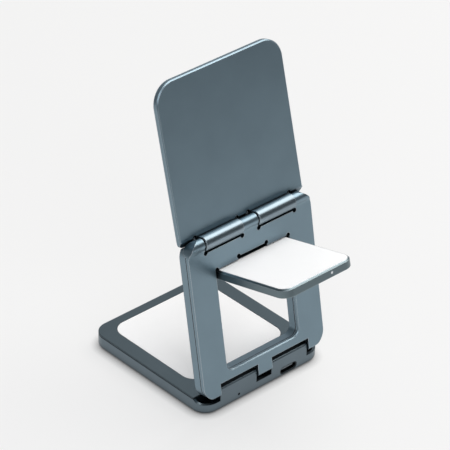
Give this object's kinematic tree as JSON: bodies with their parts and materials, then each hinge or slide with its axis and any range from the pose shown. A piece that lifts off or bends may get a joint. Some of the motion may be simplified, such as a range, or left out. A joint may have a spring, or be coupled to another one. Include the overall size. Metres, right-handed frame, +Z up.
{
  "type": "wireless charging station",
  "caption": "Folding wireless charging station: white base pad, leaning window frame with a fold-out flap pad, and a phone plate on a barrel hinge, in blue-grey metal.",
  "frame": {"origin": "middle of the rubber foot's underside, which stands on the table", "axes": "+Z up, +Y towards the hinge and USB-C side, +X along the hinges"},
  "size_m": [0.066, 0.1007, 0.1407],
  "materials": {
    "metal": "blue-grey anodised, fine satin blasted",
    "white_pad": "smooth satin white",
    "copper": "wound enamelled wire",
    "ferrite": "matt black sheet",
    "board": "solder resist",
    "chip": "moulded black",
    "steel": "bright",
    "light": "clear milky light pipe",
    "foot_rubber": "matt silicone",
    "magnet": "nickel plated"
  },
  "bodies": {
    "base": {"base_shell": "metal", "base_cover": "metal", "base_pad": "white_pad", "base_coil": "copper", "base_ferrite": "ferrite", "base_board": "board", "board_chips": "chip", "board_screws": "steel", "usb_shell": "steel", "usb_tongue": "chip", "status_light": "light", "base_foot": "foot_rubber", "lower_hinge_pin": "steel"},
    "frame": {"frame_rear_cover": "metal", "frame_front_shell": "metal", "upper_hinge_pin": "steel"},
    "top": {"top_rear_shell": "metal", "top_barrel_left": "metal", "top_barrel_right": "metal", "top_front_cover": "metal", "top_pad": "white_pad", "top_magnets": "magnet", "top_coil": "copper", "top_ferrite": "ferrite"},
    "flap": {"flap_tray": "metal", "flap_pad": "white_pad", "flap_coil": "copper", "flap_ferrite": "ferrite", "flap_light": "light", "flap_hinge_pin": "steel"}
  },
  "joints": [
    {"name": "lower_fold", "type": "hinge", "parent": "base", "child": "frame", "pos_m": [0, 0.03195, 0.0092], "axis": [1, 0, 0], "range_deg": [-15, 80]},
    {"name": "top_fold", "type": "hinge", "parent": "frame", "child": "top", "pos_m": [0, 0.02282, 0.07481], "axis": [-1, 0, 0], "range_deg": [0, 184.1]},
    {"name": "flap_fold", "type": "hinge", "parent": "frame", "child": "flap", "pos_m": [0, 0.02442, 0.0591], "axis": [-1, 0, 0], "range_deg": [0, 94.31]}
  ],
  "couplings": [
    {"joint": "flap_fold", "follows": "top_fold", "ratio": 0.51222}
  ]
}
